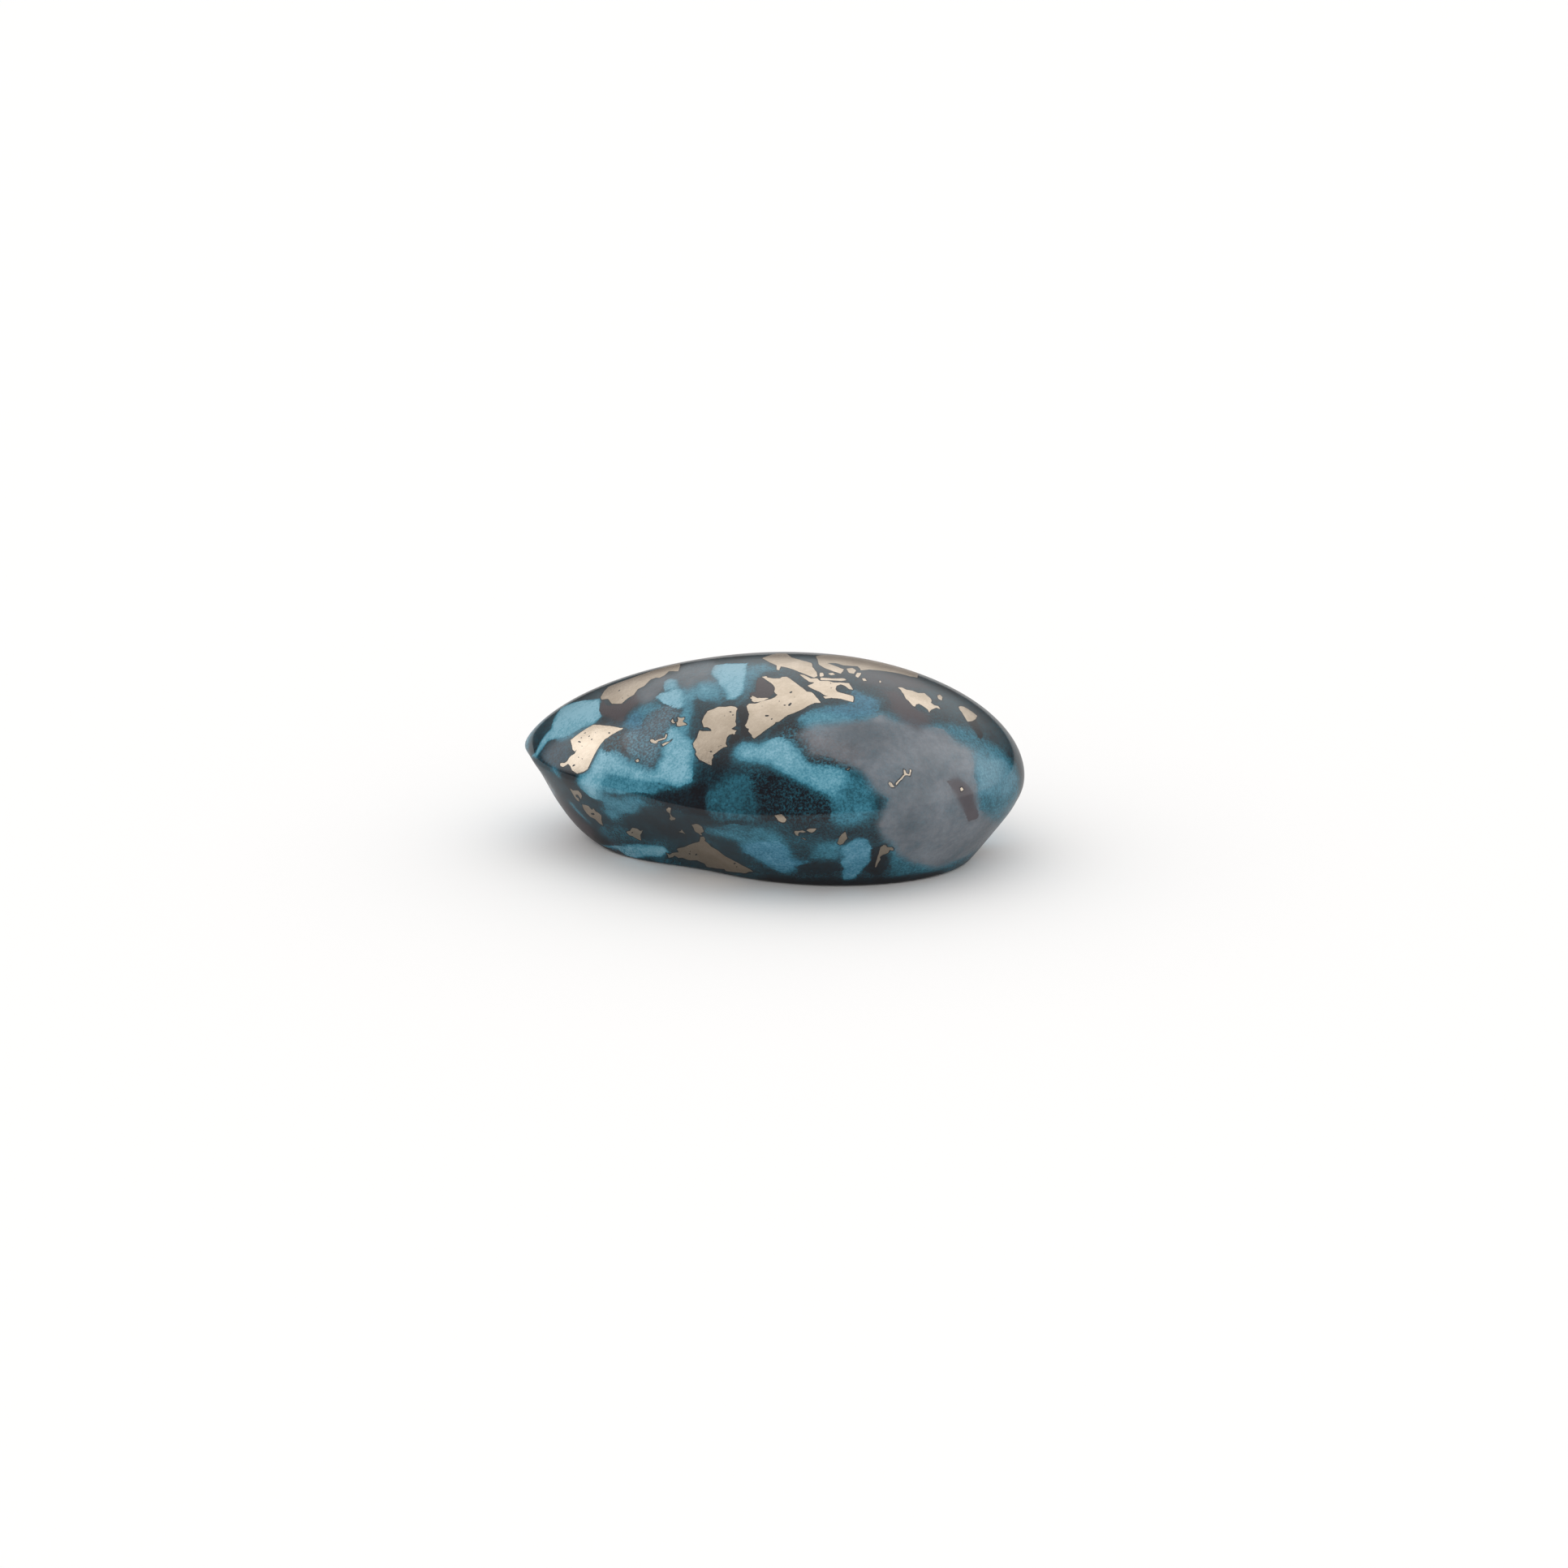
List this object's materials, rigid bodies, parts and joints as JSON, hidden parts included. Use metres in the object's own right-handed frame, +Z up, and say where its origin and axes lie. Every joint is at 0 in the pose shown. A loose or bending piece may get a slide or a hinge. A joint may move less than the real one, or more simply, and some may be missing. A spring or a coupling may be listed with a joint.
{
  "type": "polished turquoise stone",
  "caption": "Polished freeform oval of Persian turquoise: a high domed gemstone with pyrite in dark matrix, slanted underside and flat base, to display or to set in jewellery.",
  "frame": {"origin": "middle of the stone's length and width, on the flat base that it rests on", "axes": "+X along the stone towards its fuller end, +Z up through the dome"},
  "size_m": [0.0246, 0.0184, 0.0095],
  "materials": {
    "turquoise": "polished blue turquoise, from sky blue to deep teal and near-black matrix, with flush beige metallic pyrite"
  },
  "bodies": {
    "root": {"turquoise_stone": "turquoise"}
  },
  "joints": []
}
